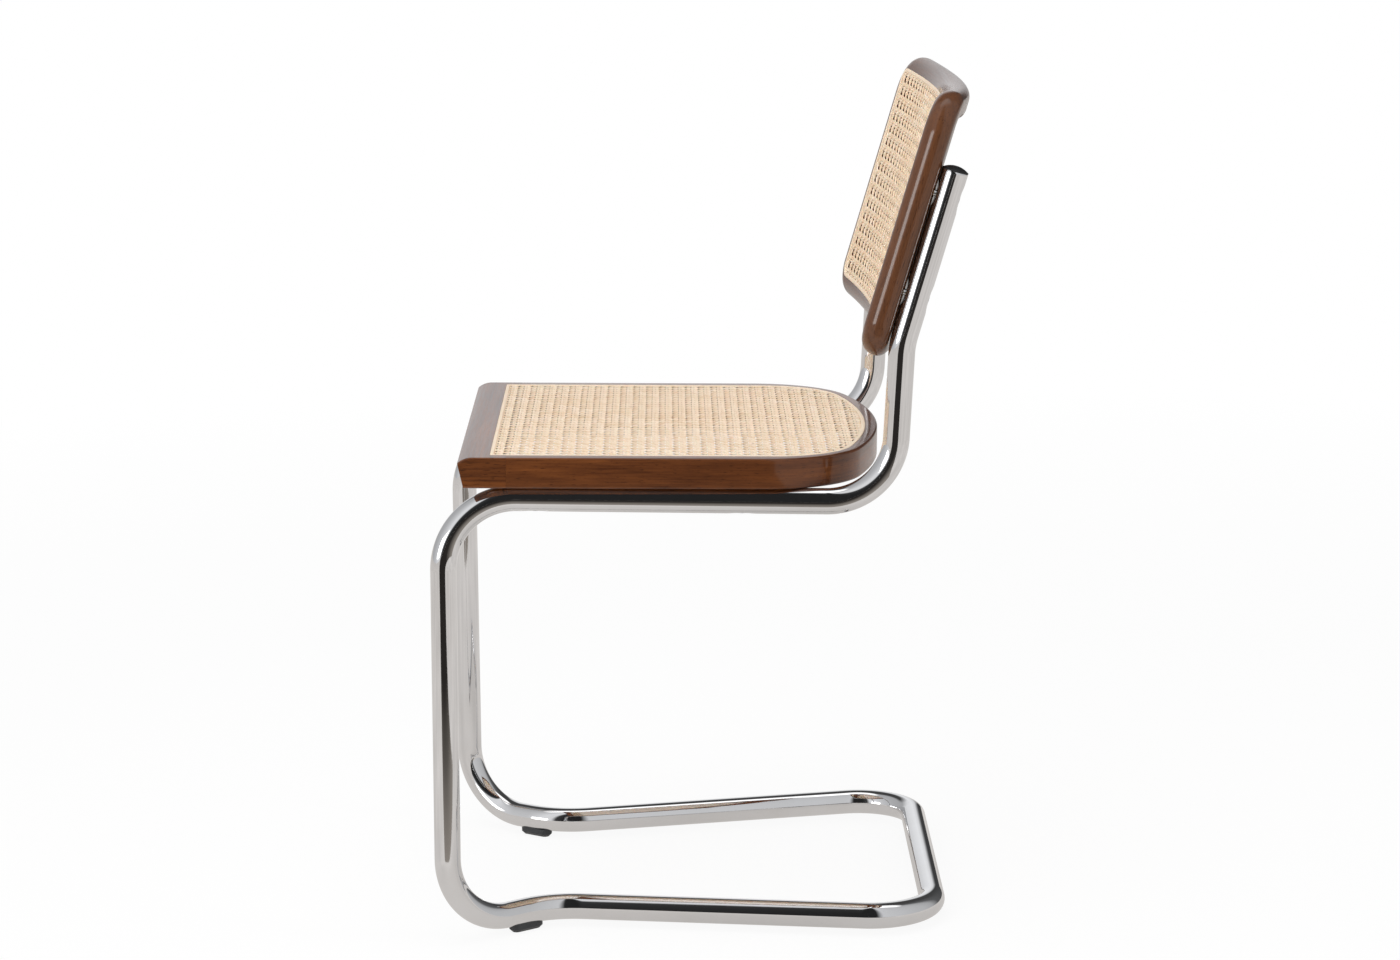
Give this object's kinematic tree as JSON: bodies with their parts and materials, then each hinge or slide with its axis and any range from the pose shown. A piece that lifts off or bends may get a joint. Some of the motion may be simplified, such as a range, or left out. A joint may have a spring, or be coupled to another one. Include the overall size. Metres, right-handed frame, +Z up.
{
  "type": "cantilever dining chair",
  "caption": "Cantilever dining chair of bent chromed steel tube, with a caned wood seat and a curved caned wood back.",
  "frame": {"origin": "centre of the chair's bounding box, on the floor", "axes": "+Z up; the front of the seat faces -Y and the back is at +Y; +X is the sitter's left, and the chair is mirrored about X = 0"},
  "size_m": [0.4548, 0.5276, 0.8081],
  "materials": {
    "chrome_tube": "polished chrome plate",
    "stained_wood": "walnut stain under satin lacquer",
    "woven_cane": "natural open cane weave",
    "reed_spline": "pale reed, satin",
    "black_plastic": "moulded, satin",
    "screw_steel": "bright plated steel",
    "insert_brass": "turned brass",
    "dowel_wood": "plain beech"
  },
  "bodies": {
    "root": {"tube_frame": "chrome_tube", "end_cap_left": "black_plastic", "front_left_glide": "black_plastic", "rear_left_glide": "black_plastic", "seat_screw_front_left": "screw_steel", "seat_insert_front_left": "insert_brass", "seat_screw_rear_left": "screw_steel", "seat_insert_rear_left": "insert_brass", "back_screw_low_left": "screw_steel", "back_insert_low_left": "insert_brass", "back_screw_high_left": "screw_steel", "back_insert_high_left": "insert_brass", "seat_dowels_left": "dowel_wood", "back_dowels_top_left": "dowel_wood", "back_dowels_bottom_left": "dowel_wood", "back_left_stile": "stained_wood", "end_cap_right": "black_plastic", "front_right_glide": "black_plastic", "rear_right_glide": "black_plastic", "seat_screw_front_right": "screw_steel", "seat_insert_front_right": "insert_brass", "seat_screw_rear_right": "screw_steel", "seat_insert_rear_right": "insert_brass", "back_screw_low_right": "screw_steel", "back_insert_low_right": "insert_brass", "back_screw_high_right": "screw_steel", "back_insert_high_right": "insert_brass", "seat_dowels_right": "dowel_wood", "back_dowels_top_right": "dowel_wood", "back_dowels_bottom_right": "dowel_wood", "back_right_stile": "stained_wood", "seat_front_rail": "stained_wood", "seat_side_rail": "stained_wood", "back_top_rail": "stained_wood", "back_bottom_rail": "stained_wood", "seat_cane": "woven_cane", "back_cane": "woven_cane", "seat_spline": "reed_spline", "back_spline": "reed_spline"}
  },
  "joints": []
}
